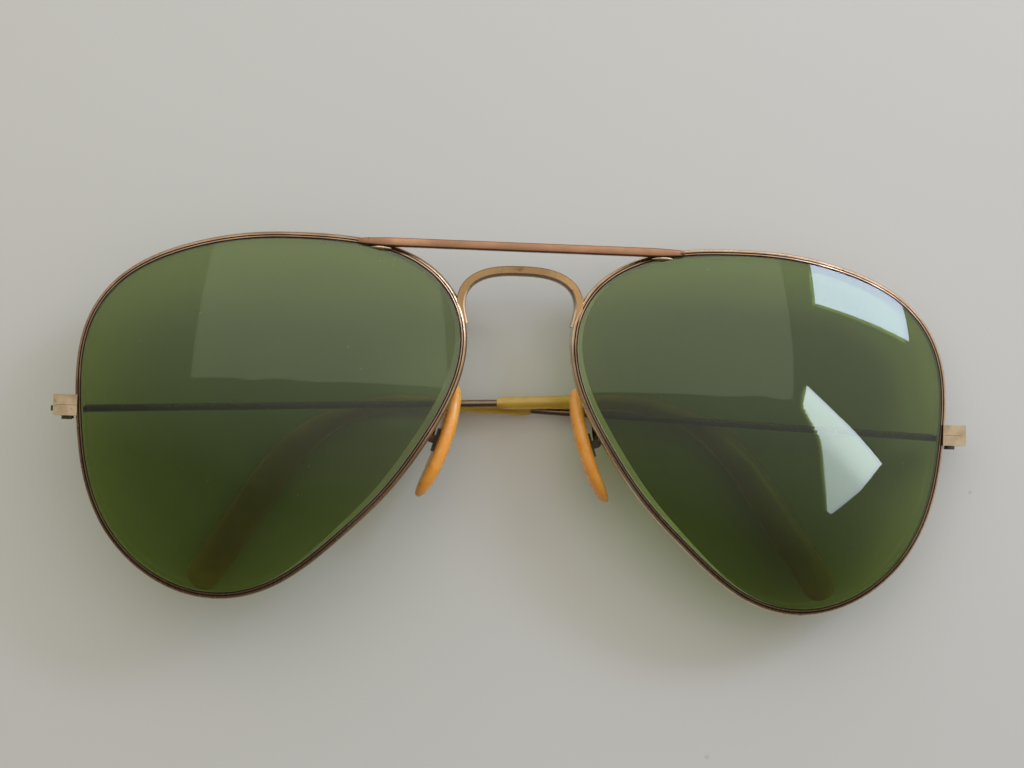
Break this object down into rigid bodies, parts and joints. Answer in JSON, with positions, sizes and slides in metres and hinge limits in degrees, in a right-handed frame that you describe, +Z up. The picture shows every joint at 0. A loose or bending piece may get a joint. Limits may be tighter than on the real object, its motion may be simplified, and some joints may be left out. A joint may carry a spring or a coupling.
{
  "type": "aviator sunglasses",
  "caption": "Teardrop wire-framed sunglasses with green glass, a straight brow bar, adjustable nose pads and folding wire temples with amber tips, lying folded with the lenses up.",
  "frame": {"origin": "middle of the base, on the table the folded glasses lie on", "axes": "+X across the face towards the right hinge, +Y towards the brow, +Z up from the table, out of the lens fronts"},
  "size_m": [0.1382, 0.0556, 0.0211],
  "materials": {
    "gold_frame": "worn satin gold plating",
    "dark_metal": "tarnished plating",
    "lens_glass": "polished green mineral glass",
    "pad_plastic": "translucent orange, aged",
    "tip_plastic": "translucent amber over a metal core"
  },
  "bodies": {
    "front": {"brow_bar": "gold_frame", "bridge": "gold_frame", "rim_left": "gold_frame", "rim_right": "gold_frame", "lens_left": "lens_glass", "lens_right": "lens_glass", "pad_arm_left": "gold_frame", "pad_arm_right": "gold_frame", "pad_pin_left": "dark_metal", "pad_pin_right": "dark_metal", "endpiece_upper_left": "gold_frame", "endpiece_upper_right": "gold_frame", "endpiece_lower_left": "gold_frame", "endpiece_lower_right": "gold_frame", "closing_screw_left": "dark_metal", "closing_screw_right": "dark_metal", "hinge_screw_left": "dark_metal", "hinge_screw_right": "dark_metal"},
    "temple_left": {"temple_butt_left": "dark_metal", "temple_wire_left": "gold_frame", "temple_tip_left": "tip_plastic"},
    "nose_pad_body_left": {"nose_pad_left": "pad_plastic", "pad_insert_left": "dark_metal"},
    "temple_right": {"temple_butt_right": "dark_metal", "temple_wire_right": "gold_frame", "temple_tip_right": "tip_plastic"},
    "nose_pad_body_right": {"nose_pad_right": "pad_plastic", "pad_insert_right": "dark_metal"}
  },
  "joints": [
    {"name": "temple_hinge_left", "type": "hinge", "parent": "front", "child": "temple_left", "pos_m": [-0.0668, 0.00027, 0.0135], "axis": [-0.0048, 0.9972, -0.0752], "range_deg": [0, 89]},
    {"name": "temple_hinge_right", "type": "hinge", "parent": "front", "child": "temple_right", "pos_m": [0.06681, 0.00027, 0.00498], "axis": [0.0048, -0.9972, 0.0752], "range_deg": [0, 87]},
    {"name": "pad_rock_left", "type": "hinge", "parent": "front", "child": "nose_pad_body_left", "pos_m": [-0.0125, -0.00228, 0.01038], "axis": [0.1299, 0.0543, 0.99], "range_deg": [-5, 5]},
    {"name": "pad_rock_right", "type": "hinge", "parent": "front", "child": "nose_pad_body_right", "pos_m": [0.01256, -0.00228, 0.00878], "axis": [-0.003, 0.0543, 0.9985], "range_deg": [-5, 5]}
  ]
}
